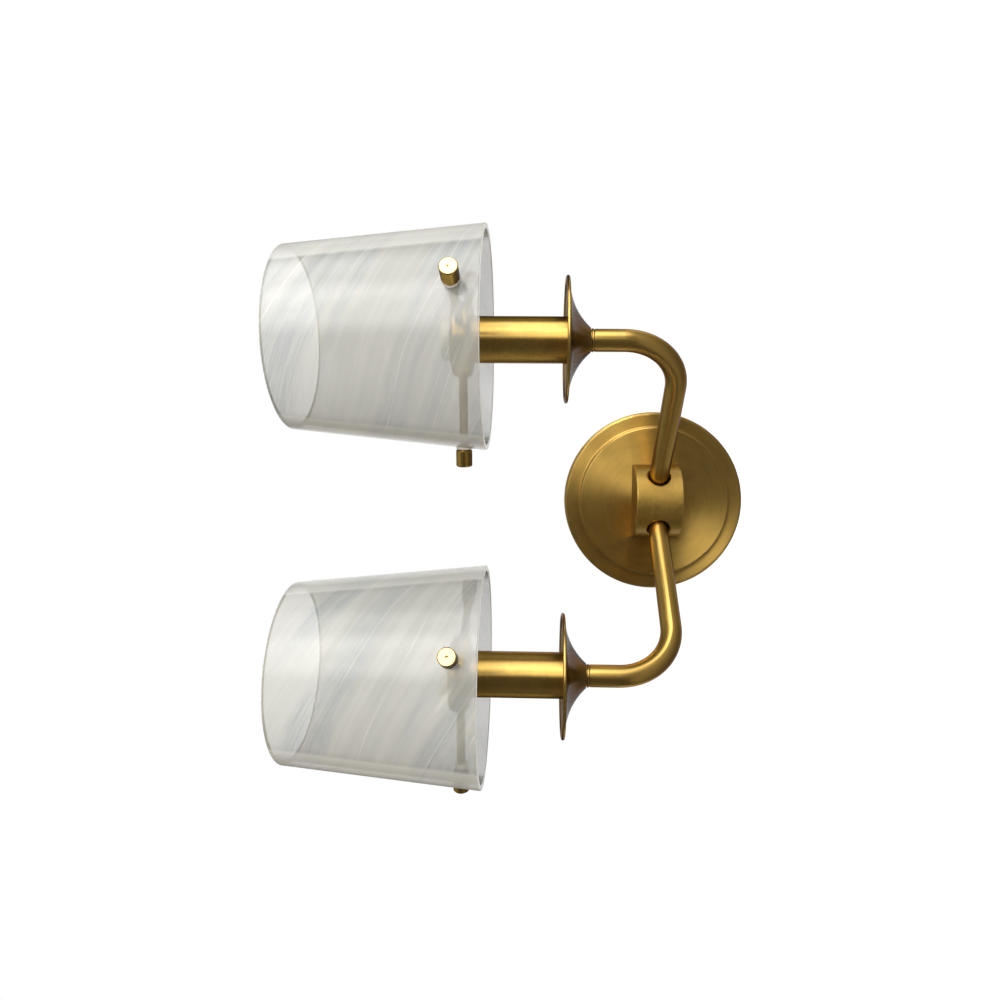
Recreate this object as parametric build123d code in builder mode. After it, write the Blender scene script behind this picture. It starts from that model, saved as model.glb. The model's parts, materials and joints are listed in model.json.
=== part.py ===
from build123d import *
from math import asin, atan2, cos, degrees, radians, sin, sqrt
import os

# Double arm wall sconce, in millimetres.
# +Z is up, the wall is the plane y = 0 and the front of the lamp faces -Y.
# The origin is the centre of the bracket's wall screws, on the wall.
# "right" is the +X lamp and "left" the -X lamp.

# ---------------------------------------------------------------- backplate
plate_radius = 61.5            # outer edge of the flange
plate_wall = 1.5               # brass sheet
flange_depth = 8.5             # flange front, measured off the wall
face_depth = 13.0              # raised disc front, measured off the wall
disc_radius = 51.0             # raised disc
disc_edge_round = 1.0
flange_cove = 1.2
rim_round = 2.2
wire_hole_radius = 4.5

# ------------------------------------------------------------- wall bracket
bracket_width = 24.0
bracket_thickness = 2.0
bracket_body_length = 100.0    # full-width part of the strap
ear_width = 11.0
ear_height = 6.4               # ears stand this far off the wall
ear_gap = 0.4                  # ear to the plate's inner wall
bend_inner_round = 0.6
slot_spacing = 66.0
slot_length = 14.0
slot_width = 4.6
bracket_bore_radius = 5.0      # tapped M10 x 1
earth_screw_height = 16.0      # above the centre
earth_washer_radius = 4.9
earth_washer_thickness = 0.8

# ------------------------------------------------------------ metric screws
m3_radius = 1.5
m3_head_radius = 2.8
m3_head_height = 2.0
m4_radius = 2.0
m4_head_radius = 3.9
m4_head_height = 2.4
screw_hole_gap = 0.2           # clearance hole, on the radius
screw_end_gap = 1.0            # screw tip short of the end of its lug
slot_cut_width = 0.9
slot_cut_depth = 1.0
grub_length = 6.0
grub_set_back = 0.3            # grub screw below the plate's outer edge

# ----------------------------------------------------------- terminal block
block_strip_width = 16.0
block_strip_height = 11.0
block_strip_depth = 7.0
block_strip_drop = 14.0        # top face, below the centre
terminal_screw_radius = 1.3
terminal_pitch_x = 8.0
terminal_pitch_z = 5.0
terminal_screw_sink = 4.0

# ----------------------------------------------------------------- hub boss
hub_radius = 25.0              # half-round drum, axis along Z
hub_half_length = 15.5
hub_axis_proud = 2.0           # drum axis in front of the raised disc
hub_wall = 2.0
hub_edge_round = 0.9
hub_hole_gap = 0.9             # arm hole over the arm, on the radius
hub_hole_round = 1.3           # rolled edge of each arm hole
lug_radius = 2.6
lug_length = 6.0
lug_offset = 19.2              # lug centre from the middle, along X
lug_bite = 0.6                 # lug sunk in the drum's end wall

# ---------------------------------------------------------------- arm block
block_half_width = 16.4
block_half_height = 12.5
block_depth = 21.0             # off the raised disc
seat_distance = 15.0           # arm's seat, from the drum axis
nipple_engagement = 8.0        # thread length in the block, and in the tube
block_screw_offset = 9.2       # above and below the middle
block_screw_depth = 9.0
wire_way_radius = 4.0

# --------------------------------------------------------------------- arms
lamp_offset = 95.0             # lamp axis from the middle, along X
projection = 105.0             # lamp axis off the wall
arm_radius = 6.35              # 12.7 mm tube
thread_radius = 5.0            # M10 x 1 lamp thread, and the tube's bore
nipple_bore_radius = 3.9
arm_bend_radius = 33.0
arm_rise = 49.7                # arm top above the arm's level run

# ---------------------------------------------------------- collar and cup
collar_height = 2.3
collar_radius = 6.6
collar_neck_radius = 6.0
collar_groove = 0.4
cup_neck_radius = 7.0
cup_rim_radius = 35.25
cup_height = 12.3              # neck to the underside of the rim
cup_wall = 1.2
cup_bead_radius = 1.0
nut_flats = 14.0
nut_height = 3.0
seat_thickness = 2.0
seat_gap = 0.05                # centring disc in the sleeve, on the radius

# ------------------------------------------------- sleeve and lamp holder
sleeve_radius = 13.0
sleeve_wall = 0.8
sleeve_length = 59.25
sleeve_foot_gap = 0.05         # sleeve foot over the cup
holder_radius = 11.9
holder_proud = 16.4            # holder above the sleeve's top
holder_body_length = 37.6
holder_cap_length = 13.0
holder_cap_floor = 4.0
holder_wall = 1.8
holder_skirt_wall = 2.2
holder_floor = 6.0             # insulating floor under the screw shell
holder_recess = 2.0            # floor above the body's lower edge
cap_collar_radius = 7.5
cap_collar_height = 7.0
socket_radius = 6.95           # small Edison screw, 14 mm
socket_length = 20.0
shell_wall = 0.4
shell_skirt_radius = 7.2
shell_skirt_length = 5.0
shell_flange = 0.5
shell_flange_radius = 9.5
rivet_radius = 1.3
contact_width = 4.4
contact_thickness = 0.5
contact_foot_end = 3.4         # foot's end, on one side of the lamp axis
contact_bend = 4.4             # upright bend, on the other side
contact_bend_height = 2.6
contact_bend_round = 0.9
contact_tip = 2.4              # tip, back across the axis
contact_rise = 3.6             # tip above the foot

# ------------------------------------------------------------ shade carrier
carrier_radius = 21.0
carrier_height = 11.0
carrier_round = 3.0
carrier_gap = 0.1              # carrier over the holder, on the radius
rod_radius = 2.4
rod_root = 2.0                 # rod sunk in the carrier
rod_thread_depth = 10.0
carrier_grub_place = 0.5       # half way from the first rod to the second

# ------------------------------------------------------------- glass shades
shade_wide_radius = 62.0       # lower rim, outside
shade_narrow_radius = 51.0     # upper rim, outside
shade_height = 110.5
glass_wall = 3.0               # measured level
glass_rim_round = 0.8
knob_above_rim = 14.2          # knob axis above the lower rim
glass_hole_radius = 2.6
shade_turn = {"right": 18.6, "left": 23.0}   # first knob, from the front towards +X
knob_count = 3

# ------------------------------------------------------ knobs and washers
inner_washer_thickness = 2.2
inner_washer_radius = 4.0
washer_glass_gap = 0.1         # fixed washer to glass
moving_gap = 0.3               # moving washer to glass and to the stud
outer_washer_thickness = 1.6
outer_washer_radius = 4.5
knob_seat_gap = 0.1            # knob neck to its washer
knob_radius = 4.7
knob_length = 9.7
knob_neck_radius = 3.4
knob_neck_length = 0.6
knob_edge = 0.5
knob_dimple_radius = 0.8
knob_dimple_depth = 0.35
stud_radius = 1.45             # M3 stud with a running clearance
stud_engagement = 8.0          # thread in the rod

# -------------------------------------------------------------------- leads
lead_radius = 1.6
lead_offset = 1.8              # beside the middle, where both leads pass
lead_depth = 6.0               # behind the plate, off the wall
lead_exit_radius = 4.5
lead_turn_radius = 6.0

# ------------------------------------------------------------ derived sizes
sides = {"right": 1, "left": -1}
hub_axis_depth = face_depth + hub_axis_proud
arm_run = projection - hub_axis_depth
arm_angle = atan2(lamp_offset, arm_run)
cup_bottom = arm_rise + collar_height
cup_rim_under = cup_bottom + cup_height
cup_flat_radius = cup_rim_radius - cup_bead_radius
cup_flare = cup_flat_radius - cup_neck_radius
cup_arc = (cup_flare**2 + cup_height**2) / (2 * cup_height)
cup_arc_centre = cup_rim_under - cup_arc
sleeve_bore = sleeve_radius - sleeve_wall


def cup_inside(radius):
    """Height of the cup's inner surface at a radius."""
    outer_arc = cup_arc + cup_wall
    return cup_arc_centre + sqrt(outer_arc**2 - (cup_flat_radius - radius) ** 2)


sleeve_bottom = cup_inside(sleeve_radius) + sleeve_foot_gap
sleeve_top = sleeve_bottom + sleeve_length
seat_bottom = sleeve_bottom
upper_nut_bottom = seat_bottom + seat_thickness
cup_floor_top = seat_bottom - nut_height
holder_top = sleeve_top + holder_proud
holder_body_bottom = holder_top - holder_body_length
holder_floor_bottom = holder_body_bottom + holder_recess
holder_floor_top = holder_floor_bottom + holder_floor
holder_bottom = holder_body_bottom - holder_cap_length
lamp_nipple_top = holder_bottom + cap_collar_height
lamp_nipple_bottom = arm_rise - nipple_engagement
shell_thread_bottom = holder_floor_top + shell_skirt_length
carrier_bottom = sleeve_top
knob_level = carrier_bottom + carrier_height / 2
shade_bottom = knob_level - knob_above_rim
shade_top = shade_bottom + shade_height


def glass_outside(height):
    """Level radius of the shade's outer surface at a height."""
    share = (height - shade_bottom) / shade_height
    return shade_wide_radius + share * (shade_narrow_radius - shade_wide_radius)


glass_radius = glass_outside(knob_level)
rod_end = glass_radius - glass_wall - inner_washer_thickness
knob_seat = glass_radius + outer_washer_thickness + knob_seat_gap
knob_back = knob_seat + knob_neck_length
knob_face = knob_back + knob_length
stud_tip = rod_end - stud_engagement
ear_outside = sqrt((plate_radius - plate_wall - ear_gap) ** 2 - (ear_width / 2) ** 2)
flange_back = flange_depth - plate_wall
face_back = face_depth - plate_wall
grub_depth = (bracket_thickness + ear_height) / 2
lug_height = hub_half_length - hub_wall - lug_radius + lug_bite

os.makedirs("parts", exist_ok=True)


# ------------------------------------------------------------------ helpers
def save(piece, name):
    """Label a finished piece and write it out."""
    piece.label = name
    export_step(piece, f"parts/{name}.step")


def lamp_plane(side):
    """Upright plane through a lamp's axis: local x is X, local y is Z."""
    return Plane(origin=(sides[side] * lamp_offset, -projection, 0), x_dir=(1, 0, 0), z_dir=(0, -1, 0))


def lamp_axis(side):
    """The lamp's upright axis."""
    return Axis((sides[side] * lamp_offset, -projection, 0), (0, 0, 1))


def arm_direction(side):
    """Level direction of an arm, away from the drum axis."""
    return Vector(sides[side] * sin(arm_angle), -cos(arm_angle), 0)


def arm_point(side, distance):
    """Point on an arm's level run, at a distance from the drum axis."""
    return Vector(0, -hub_axis_depth, 0) + arm_direction(side) * distance


def knob_direction(side, index):
    """Level direction of one of a shade's knobs, away from the lamp's axis."""
    angle = radians(shade_turn[side] + index * 360 / knob_count)
    return Vector(sin(angle), -cos(angle), 0)


def knob_plane(side, index):
    """Upright plane along a knob's axis: local x runs outward, local y is Z."""
    outward = knob_direction(side, index)
    origin = (sides[side] * lamp_offset, -projection, knob_level)
    return Plane(origin=origin, x_dir=outward, z_dir=(outward.Y, -outward.X, 0))


def face_plane(side, index, distance):
    """Plane square to a knob's axis, at a distance from the lamp's axis."""
    outward = knob_direction(side, index)
    centre = Vector(sides[side] * lamp_offset, -projection, knob_level) + outward * distance
    return Plane(origin=centre, z_dir=outward)


def turned(side, *outline):
    """A piece turned about a lamp's axis from (radius, height) points."""
    with BuildPart() as piece:
        with BuildSketch(lamp_plane(side)):
            with BuildLine():
                Polyline(*outline, close=True)
            make_face()
        revolve(axis=lamp_axis(side))
    return piece


def slotted_screws(plane, places, shank, length, head, head_height):
    """Pan-head screws on a plane, heads along its normal."""
    with BuildPart() as screws:
        with BuildSketch(plane):
            with Locations(*places):
                Circle(head)
        extrude(amount=head_height)
        with BuildSketch(plane):
            with Locations(*places):
                Circle(shank)
        extrude(amount=-length)
        with BuildSketch(plane.offset(head_height)):
            with Locations(*places):
                Rectangle(2 * head, slot_cut_width)
        extrude(amount=-slot_cut_depth, mode=Mode.SUBTRACT)
    return screws


# ------------------------------------------------------------- wall bracket
with BuildPart() as wall_bracket:
    with BuildSketch(Plane.YZ):
        with BuildLine():
            inside = ear_outside - bracket_thickness
            Polyline(
                (-ear_height, -ear_outside),
                (0, -ear_outside),
                (0, ear_outside),
                (-ear_height, ear_outside),
                (-ear_height, inside),
                (-bracket_thickness, inside),
                (-bracket_thickness, -inside),
                (-ear_height, -inside),
                close=True,
            )
        strap = make_face()
        outer_corners = strap.vertices().sort_by(Axis.X)[-2:]
        inner_corners = strap.vertices().sort_by(Axis.X)[-4:-2]
        fillet(outer_corners, radius=bend_inner_round + bracket_thickness)
        fillet(inner_corners, radius=bend_inner_round)
    extrude(amount=ear_width / 2, both=True)
    with BuildSketch(Plane.XZ):
        Rectangle(bracket_width, bracket_body_length)
    extrude(amount=bracket_thickness)
    with BuildSketch(Plane.XZ):
        with Locations((0, slot_spacing / 2), (0, -slot_spacing / 2)):
            SlotOverall(slot_length, slot_width, rotation=90)
        Circle(bracket_bore_radius)
        with Locations((0, earth_screw_height)):
            Circle(m4_radius)
    extrude(amount=bracket_thickness, mode=Mode.SUBTRACT)
    with BuildSketch(Plane.XY):
        with Locations((0, -grub_depth)):
            Circle(m3_radius)
    extrude(amount=plate_radius, both=True, mode=Mode.SUBTRACT)
save(wall_bracket.part, "wall_bracket")

earth_plane = Plane.XZ.offset(bracket_thickness)
with BuildPart() as earth_washer:
    with BuildSketch(earth_plane):
        with Locations((0, earth_screw_height)):
            Circle(earth_washer_radius)
            Circle(m4_radius + screw_hole_gap, mode=Mode.SUBTRACT)
    extrude(amount=earth_washer_thickness)
save(earth_washer.part, "earth_washer")

earth_screw = slotted_screws(
    earth_plane.offset(earth_washer_thickness),
    [(0, earth_screw_height)],
    m4_radius,
    bracket_thickness + earth_washer_thickness,
    m4_head_radius,
    m4_head_height,
)
save(earth_screw.part, "earth_screw")

# ----------------------------------------------------------- terminal block
terminal_places = [
    (x * terminal_pitch_x / 2, z * terminal_pitch_z / 2 - block_strip_drop - block_strip_height / 2)
    for x in (-1, 1)
    for z in (-1, 1)
]
terminal_front = Plane.XZ.offset(bracket_thickness + block_strip_depth)
with BuildPart() as terminal_block:
    with BuildSketch(Plane.XZ.offset(bracket_thickness)):
        with Locations((0, -block_strip_drop)):
            Rectangle(block_strip_width, block_strip_height, align=(Align.CENTER, Align.MAX))
    extrude(amount=block_strip_depth)
    with BuildSketch(terminal_front):
        with Locations(*terminal_places):
            Circle(terminal_screw_radius)
    extrude(amount=-terminal_screw_sink, mode=Mode.SUBTRACT)
save(terminal_block.part, "terminal_block")

with BuildPart() as terminal_screws:
    with BuildSketch(terminal_front):
        with Locations(*terminal_places):
            Circle(terminal_screw_radius)
    extrude(amount=-terminal_screw_sink)
    with BuildSketch(terminal_front):
        with Locations(*terminal_places):
            Rectangle(2 * terminal_screw_radius, slot_cut_width)
    extrude(amount=-slot_cut_depth, mode=Mode.SUBTRACT)
save(terminal_screws.part, "terminal_screws")

# ---------------------------------------------------------------- backplate
lug_places = [(lug_offset, lug_height), (-lug_offset, -lug_height)]
block_screw_places = [(0, block_screw_offset), (0, -block_screw_offset)]
with BuildPart() as backplate:
    with BuildSketch(Plane.XY):
        with BuildLine():
            FilletPolyline(
                (0, -face_depth),
                (disc_radius, -face_depth),
                (disc_radius, -flange_depth),
                (plate_radius, -flange_depth),
                (plate_radius, 0),
                radius=[disc_edge_round, flange_cove, rim_round],
            )
            Polyline(
                (plate_radius, 0),
                (plate_radius - plate_wall, 0),
                (plate_radius - plate_wall, -flange_back),
                (disc_radius - plate_wall, -flange_back),
                (disc_radius - plate_wall, -face_back),
                (0, -face_back),
                (0, -face_depth),
            )
        make_face()
    revolve(axis=Axis.Y)
    with BuildSketch(Plane.XZ):
        Circle(wire_hole_radius)
        with Locations(*lug_places):
            Circle(m3_radius + screw_hole_gap)
        with Locations(*block_screw_places):
            Circle(m4_radius + screw_hole_gap)
    extrude(amount=face_depth, mode=Mode.SUBTRACT)
    with BuildSketch(Plane.XY):
        with Locations((0, -grub_depth)):
            Circle(m3_radius + screw_hole_gap)
    extrude(amount=plate_radius, both=True, mode=Mode.SUBTRACT)
save(backplate.part, "backplate")

with BuildPart() as plate_grub_screws:
    for direction in (1, -1):
        outer_end = direction * (plate_radius - grub_set_back)
        with BuildSketch(Plane(origin=(0, -grub_depth, outer_end), z_dir=(0, 0, direction))):
            Circle(m3_radius)
        extrude(amount=-grub_length)
        with BuildSketch(Plane(origin=(0, -grub_depth, outer_end), z_dir=(0, 0, direction))):
            Rectangle(2 * m3_radius, slot_cut_width)
        extrude(amount=-slot_cut_depth, mode=Mode.SUBTRACT)
save(plate_grub_screws.part, "plate_grub_screws")

# ----------------------------------------------------------------- hub boss
with BuildPart() as hub_boss:
    with BuildSketch(Plane.XY.offset(-hub_half_length)):
        with Locations((0, -hub_axis_depth)):
            Circle(hub_radius)
        with Locations((0, -face_depth)):
            Rectangle(2 * hub_radius, hub_radius, align=(Align.CENTER, Align.MIN), mode=Mode.SUBTRACT)
    extrude(amount=2 * hub_half_length)
    fillet(hub_boss.edges().filter_by(GeomType.CIRCLE), radius=hub_edge_round)
    with BuildSketch(Plane.XY.offset(hub_wall - hub_half_length)):
        with Locations((0, -hub_axis_depth)):
            Circle(hub_radius - hub_wall)
        with Locations((0, -face_depth)):
            Rectangle(2 * hub_radius, hub_radius, align=(Align.CENTER, Align.MIN), mode=Mode.SUBTRACT)
    extrude(amount=2 * (hub_half_length - hub_wall), mode=Mode.SUBTRACT)
    for side in sides:
        with BuildSketch(Plane(origin=arm_point(side, 0), z_dir=arm_direction(side))):
            Circle(arm_radius + hub_hole_gap)
        extrude(amount=2 * hub_radius, mode=Mode.SUBTRACT)
        hole_edges = hub_boss.edges(Select.LAST).filter_by(GeomType.LINE, reverse=True)
        outward = Axis(origin=arm_point(side, 0), direction=arm_direction(side))
        fillet(hole_edges.sort_by(outward)[-1], radius=hub_hole_round)
    with BuildSketch(Plane.XZ.offset(face_depth)):
        with Locations(*lug_places):
            Circle(lug_radius)
    extrude(amount=lug_length)
    with BuildSketch(Plane.XZ.offset(face_depth)):
        with Locations(*lug_places):
            Circle(m3_radius)
    extrude(amount=lug_length, mode=Mode.SUBTRACT)
save(hub_boss.part, "hub_boss")

hub_screws = slotted_screws(
    Plane(origin=(0, -face_back, 0), x_dir=(1, 0, 0), z_dir=(0, 1, 0)),
    [(x, -z) for x, z in lug_places],
    m3_radius,
    plate_wall + lug_length - screw_end_gap,
    m3_head_radius,
    m3_head_height,
)
save(hub_screws.part, "hub_screws")

# ---------------------------------------------------------------- arm block
block_front = face_depth + block_depth
side_seat_depth = hub_axis_depth + (seat_distance - block_half_width * sin(arm_angle)) / cos(arm_angle)
front_run = block_front - hub_axis_depth
front_half_width = (seat_distance - front_run * cos(arm_angle)) / sin(arm_angle)
with BuildPart() as arm_block:
    with BuildSketch(Plane.XY.offset(-block_half_height)):
        with BuildLine():
            Polyline(
                (-block_half_width, -face_depth),
                (-block_half_width, -side_seat_depth),
                (-front_half_width, -block_front),
                (front_half_width, -block_front),
                (block_half_width, -side_seat_depth),
                (block_half_width, -face_depth),
                close=True,
            )
        make_face()
    extrude(amount=2 * block_half_height)
    with BuildSketch(Plane.XZ.offset(face_depth)):
        Circle(wire_hole_radius)
    extrude(amount=hub_axis_depth - face_depth + wire_hole_radius, mode=Mode.SUBTRACT)
    for side in sides:
        with BuildSketch(Plane(origin=arm_point(side, 0), z_dir=arm_direction(side))):
            Circle(wire_way_radius)
        extrude(amount=seat_distance, mode=Mode.SUBTRACT)
        socket_start = arm_point(side, seat_distance - nipple_engagement)
        with BuildSketch(Plane(origin=socket_start, z_dir=arm_direction(side))):
            Circle(thread_radius)
        extrude(amount=nipple_engagement, mode=Mode.SUBTRACT)
    with BuildSketch(Plane.XZ.offset(face_depth)):
        with Locations(*block_screw_places):
            Circle(m4_radius)
    extrude(amount=block_screw_depth, mode=Mode.SUBTRACT)
save(arm_block.part, "arm_block")

block_screws = slotted_screws(
    Plane(origin=(0, -face_back, 0), x_dir=(1, 0, 0), z_dir=(0, 1, 0)),
    block_screw_places,
    m4_radius,
    plate_wall + block_screw_depth,
    m4_head_radius,
    m4_head_height,
)
save(block_screws.part, "block_screws")


# ------------------------------------------------------------ arms and lamps
def make_arm(side):
    """Bent tube and the threaded tube in its inner end."""
    start = arm_point(side, seat_distance)
    corner = (sides[side] * lamp_offset, -projection, 0)
    top = (sides[side] * lamp_offset, -projection, arm_rise)
    with BuildPart() as arm:
        with BuildLine():
            FilletPolyline(start, corner, top, radius=arm_bend_radius)
        with BuildSketch(Plane(origin=start, z_dir=arm_direction(side))):
            Circle(arm_radius)
            Circle(thread_radius, mode=Mode.SUBTRACT)
        sweep()
    save(arm.part, f"arm_tube_{side}")

    nipple_start = arm_point(side, seat_distance - nipple_engagement)
    with BuildPart() as nipple:
        with BuildSketch(Plane(origin=nipple_start, z_dir=arm_direction(side))):
            Circle(thread_radius)
            Circle(nipple_bore_radius, mode=Mode.SUBTRACT)
        extrude(amount=2 * nipple_engagement)
    save(nipple.part, f"arm_nipple_{side}")


def make_lamp_stem(side):
    """Threaded stem, turned collar, cup, nuts and the disc that centres the sleeve."""
    stem = turned(
        side,
        (nipple_bore_radius, lamp_nipple_bottom),
        (thread_radius, lamp_nipple_bottom),
        (thread_radius, lamp_nipple_top),
        (nipple_bore_radius, lamp_nipple_top),
    )
    save(stem.part, f"lamp_stem_{side}")

    bead_bottom = arm_rise + collar_groove
    bead_top = cup_bottom - collar_groove
    with BuildPart() as collar:
        with BuildSketch(lamp_plane(side)):
            with BuildLine():
                Polyline(
                    (collar_neck_radius, bead_bottom),
                    (collar_neck_radius, arm_rise),
                    (thread_radius, arm_rise),
                    (thread_radius, cup_bottom),
                    (collar_neck_radius, cup_bottom),
                    (collar_neck_radius, bead_top),
                )
                ThreePointArc(
                    (collar_neck_radius, bead_top),
                    (collar_radius, (bead_bottom + bead_top) / 2),
                    (collar_neck_radius, bead_bottom),
                )
            make_face()
        revolve(axis=lamp_axis(side))
    save(collar.part, f"arm_collar_{side}")

    with BuildPart() as cup:
        with BuildSketch(lamp_plane(side)):
            with BuildLine():
                half_turn = asin(cup_flare / cup_arc) / 2
                under_mid = (
                    cup_flat_radius - cup_arc * sin(half_turn),
                    cup_arc_centre + cup_arc * cos(half_turn),
                )
                bead_top_height = cup_rim_under + 2 * cup_bead_radius
                lip = cup_flat_radius - cup_bead_radius
                inside_arc = cup_arc + cup_wall
                floor_edge = cup_flat_radius - sqrt(inside_arc**2 - (cup_floor_top - cup_arc_centre) ** 2)
                inside_mid = (floor_edge + lip) / 2
                ThreePointArc((cup_neck_radius, cup_bottom), under_mid, (cup_flat_radius, cup_rim_under))
                ThreePointArc(
                    (cup_flat_radius, cup_rim_under),
                    (cup_rim_radius, cup_rim_under + cup_bead_radius),
                    (cup_flat_radius, bead_top_height),
                )
                Line((cup_flat_radius, bead_top_height), (lip, cup_inside(lip)))
                ThreePointArc(
                    (lip, cup_inside(lip)),
                    (inside_mid, cup_inside(inside_mid)),
                    (floor_edge, cup_floor_top),
                )
                Polyline(
                    (floor_edge, cup_floor_top),
                    (thread_radius, cup_floor_top),
                    (thread_radius, cup_bottom),
                    (cup_neck_radius, cup_bottom),
                )
            make_face()
        revolve(axis=lamp_axis(side))
    save(cup.part, f"cup_{side}")

    with BuildPart() as nuts:
        for bottom in (cup_floor_top, upper_nut_bottom):
            with BuildSketch(Plane.XY.offset(bottom)):
                with Locations((sides[side] * lamp_offset, -projection)):
                    RegularPolygon(nut_flats / 2, 6, major_radius=False)
                    Circle(thread_radius, mode=Mode.SUBTRACT)
            extrude(amount=nut_height)
    save(nuts.part, f"stem_nuts_{side}")

    seat = turned(
        side,
        (thread_radius, seat_bottom),
        (sleeve_bore - seat_gap, seat_bottom),
        (sleeve_bore - seat_gap, upper_nut_bottom),
        (thread_radius, upper_nut_bottom),
    )
    save(seat.part, f"sleeve_seat_{side}")


def make_lamp_holder(side):
    """Brass sleeve and the lamp holder that stands in it."""
    sleeve = turned(
        side,
        (sleeve_bore, sleeve_bottom),
        (sleeve_radius, sleeve_bottom),
        (sleeve_radius, sleeve_top),
        (sleeve_bore, sleeve_top),
    )
    save(sleeve.part, f"candle_sleeve_{side}")

    floor_top = holder_bottom + holder_cap_floor
    cap = turned(
        side,
        (thread_radius, holder_bottom),
        (holder_radius, holder_bottom),
        (holder_radius, holder_body_bottom),
        (holder_radius - holder_wall, holder_body_bottom),
        (holder_radius - holder_wall, floor_top),
        (cap_collar_radius, floor_top),
        (cap_collar_radius, lamp_nipple_top),
        (thread_radius, lamp_nipple_top),
    )
    save(cap.part, f"holder_cap_{side}")

    body = turned(
        side,
        (holder_radius - holder_wall, holder_body_bottom),
        (holder_radius, holder_body_bottom),
        (holder_radius, holder_top),
        (holder_radius - holder_skirt_wall, holder_top),
        (holder_radius - holder_skirt_wall, holder_floor_top),
        (rivet_radius, holder_floor_top),
        (rivet_radius, holder_floor_bottom),
        (holder_radius - holder_wall, holder_floor_bottom),
    )
    save(body.part, f"holder_body_{side}")

    thread_top = shell_thread_bottom + socket_length
    shell = turned(
        side,
        (shell_skirt_radius, holder_floor_top),
        (shell_flange_radius, holder_floor_top),
        (shell_flange_radius, holder_floor_top + shell_flange),
        (shell_skirt_radius + shell_wall, holder_floor_top + shell_flange),
        (shell_skirt_radius + shell_wall, shell_thread_bottom),
        (socket_radius + shell_wall, shell_thread_bottom + shell_wall),
        (socket_radius + shell_wall, thread_top),
        (socket_radius, thread_top),
        (socket_radius, shell_thread_bottom),
        (shell_skirt_radius, shell_thread_bottom),
    )
    save(shell.part, f"screw_shell_{side}")

    foot = holder_floor_top + contact_thickness / 2
    with BuildPart() as contact:
        with BuildSketch(lamp_plane(side)):
            with BuildLine() as strip:
                FilletPolyline(
                    (contact_foot_end, foot),
                    (-contact_bend, foot),
                    (-contact_bend, foot + contact_bend_height),
                    (contact_tip, foot + contact_rise),
                    radius=contact_bend_round,
                )
            trace(strip.line, line_width=contact_thickness)
        extrude(amount=contact_width / 2, both=True)
        with BuildSketch(Plane.XY.offset(holder_floor_bottom)):
            with Locations((sides[side] * lamp_offset, -projection)):
                Circle(rivet_radius)
        extrude(amount=holder_floor + contact_thickness)
    save(contact.part, f"centre_contact_{side}")


def make_carrier(side):
    """Round hub with three tapped rods, and the grub screw that grips the holder."""
    bore = holder_radius + carrier_gap
    with BuildPart() as carrier:
        with BuildSketch(Plane.XY.offset(carrier_bottom)):
            with Locations((sides[side] * lamp_offset, -projection)):
                Circle(carrier_radius)
        extrude(amount=carrier_height)
        fillet(carrier.edges(), radius=carrier_round)
        for index in range(knob_count):
            with BuildSketch(face_plane(side, index, carrier_radius - rod_root)):
                Circle(rod_radius)
            extrude(amount=rod_end - carrier_radius + rod_root)
            with BuildSketch(face_plane(side, index, rod_end)):
                Circle(m3_radius)
            extrude(amount=-rod_thread_depth, mode=Mode.SUBTRACT)
        with BuildSketch(Plane.XY.offset(carrier_bottom)):
            with Locations((sides[side] * lamp_offset, -projection)):
                Circle(bore)
        extrude(amount=carrier_height, mode=Mode.SUBTRACT)
        with BuildSketch(face_plane(side, carrier_grub_place, 0)):
            Circle(m4_radius)
        extrude(amount=carrier_radius, mode=Mode.SUBTRACT)
    save(carrier.part, f"shade_carrier_{side}")

    with BuildPart() as grub:
        with BuildSketch(face_plane(side, carrier_grub_place, holder_radius)):
            Circle(m4_radius)
        extrude(amount=grub_length)
        with BuildSketch(face_plane(side, carrier_grub_place, holder_radius + grub_length)):
            Rectangle(2 * m4_radius, slot_cut_width)
        extrude(amount=-slot_cut_depth, mode=Mode.SUBTRACT)
    save(grub.part, f"carrier_grub_{side}")


def make_shade(side):
    """Open glass cone with a hole for each knob."""
    with BuildPart() as shade:
        with BuildSketch(lamp_plane(side)):
            with BuildLine():
                Polyline(
                    (shade_wide_radius, shade_bottom),
                    (shade_narrow_radius, shade_top),
                    (shade_narrow_radius - glass_wall, shade_top),
                    (shade_wide_radius - glass_wall, shade_bottom),
                    close=True,
                )
            outline = make_face()
            fillet(outline.vertices(), radius=glass_rim_round)
        revolve(axis=lamp_axis(side))
        for index in range(knob_count):
            with BuildSketch(face_plane(side, index, carrier_radius)):
                Circle(glass_hole_radius)
            extrude(amount=knob_face, mode=Mode.SUBTRACT)
    save(shade.part, f"glass_shade_{side}")


def beyond_glass(reach, offset):
    """Outline between a far radius and the glass's outer surface, moved by an offset."""
    low = knob_level - 2 * outer_washer_radius
    high = knob_level + 2 * outer_washer_radius
    return [(glass_outside(low) + offset, low), (reach, low), (reach, high), (glass_outside(high) + offset, high)]


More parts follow.
